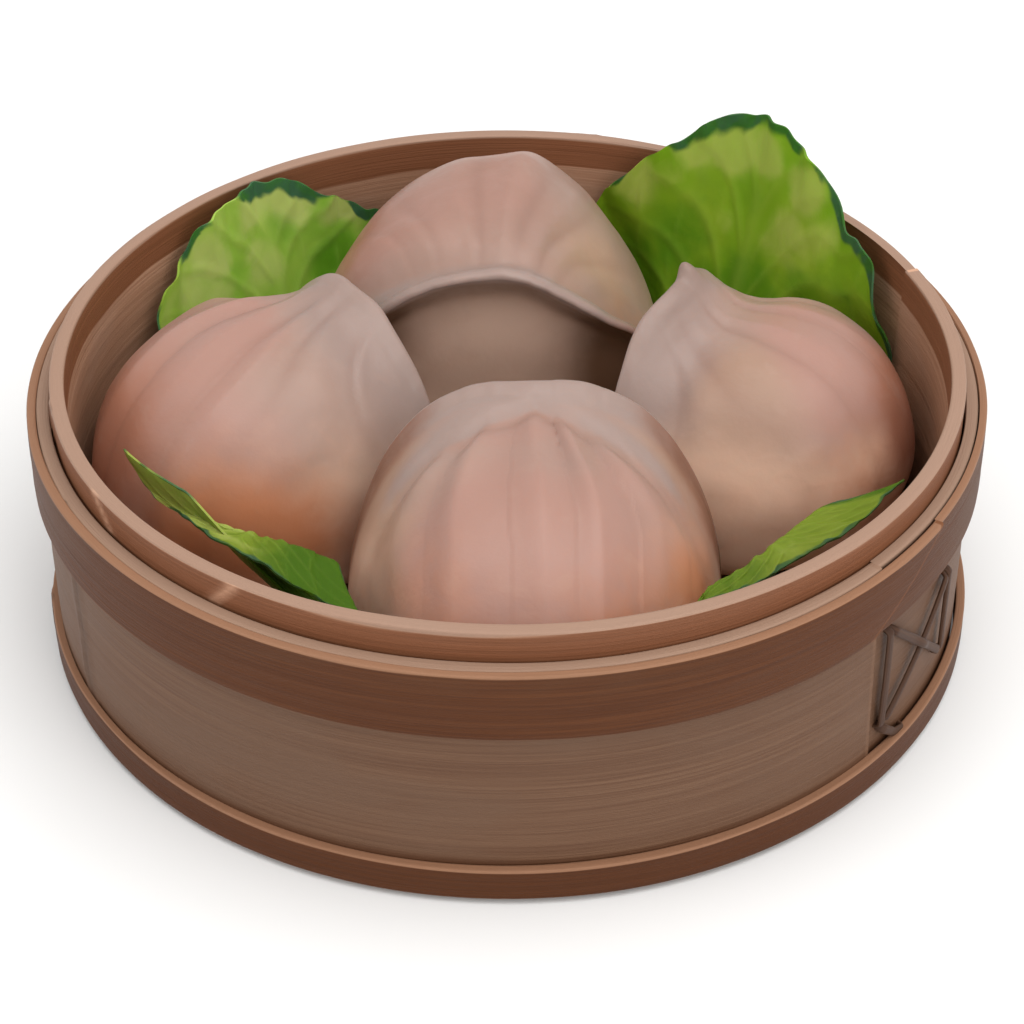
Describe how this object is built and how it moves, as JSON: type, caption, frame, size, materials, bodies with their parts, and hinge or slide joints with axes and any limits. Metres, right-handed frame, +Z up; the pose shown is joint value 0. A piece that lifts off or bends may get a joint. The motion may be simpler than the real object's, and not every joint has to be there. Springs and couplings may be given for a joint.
{
  "type": "har gow dumplings in a bamboo steamer",
  "caption": "Small round bamboo steamer basket with a slatted floor, holding pleated translucent prawn dumplings on ruffled lettuce leaves, as one serving of dim sum.",
  "frame": {"origin": "centre of the basket's underside, on the plane that it stands on", "axes": "+Z up, out of the open top; -Y towards the dumpling at the front; +X to the right, on the side of the cane lacing"},
  "size_m": [0.13, 0.13, 0.054],
  "materials": {
    "bamboo": "steamed bamboo strip, satin, with a fine grain along the bend",
    "bamboo_rim": "pale bamboo, worn smooth at the rim",
    "bamboo_hoop": "dark reddish bamboo skin, satin",
    "bamboo_slat": "split bamboo, matt, damp",
    "cane": "dark split cane, satin",
    "dough": "steamed starch dough, slightly translucent and moist",
    "lettuce": "fresh leaf, yellow-green with paler veins and a darker ruffled margin"
  },
  "bodies": {
    "root": {"outer_wall": "bamboo", "inner_ring": "bamboo_rim", "top_hoop": "bamboo_hoop", "bottom_hoop": "bamboo_hoop", "floor_ring": "bamboo", "floor_bar_front": "bamboo_slat", "floor_bar_back": "bamboo_slat", "floor_slat_01": "bamboo_slat", "floor_slat_02": "bamboo_slat", "floor_slat_03": "bamboo_slat", "floor_slat_04": "bamboo_slat", "floor_slat_05": "bamboo_slat", "floor_slat_06": "bamboo_slat", "floor_slat_07": "bamboo_slat", "floor_slat_08": "bamboo_slat", "floor_slat_09": "bamboo_slat", "floor_slat_10": "bamboo_slat", "floor_slat_11": "bamboo_slat", "lacing": "cane", "dumpling_front": "dough", "dumpling_back": "dough", "dumpling_left": "dough", "dumpling_right": "dough", "leaf_back_right": "lettuce", "leaf_back_left": "lettuce", "leaf_front_left": "lettuce", "leaf_front_right": "lettuce"}
  },
  "joints": []
}
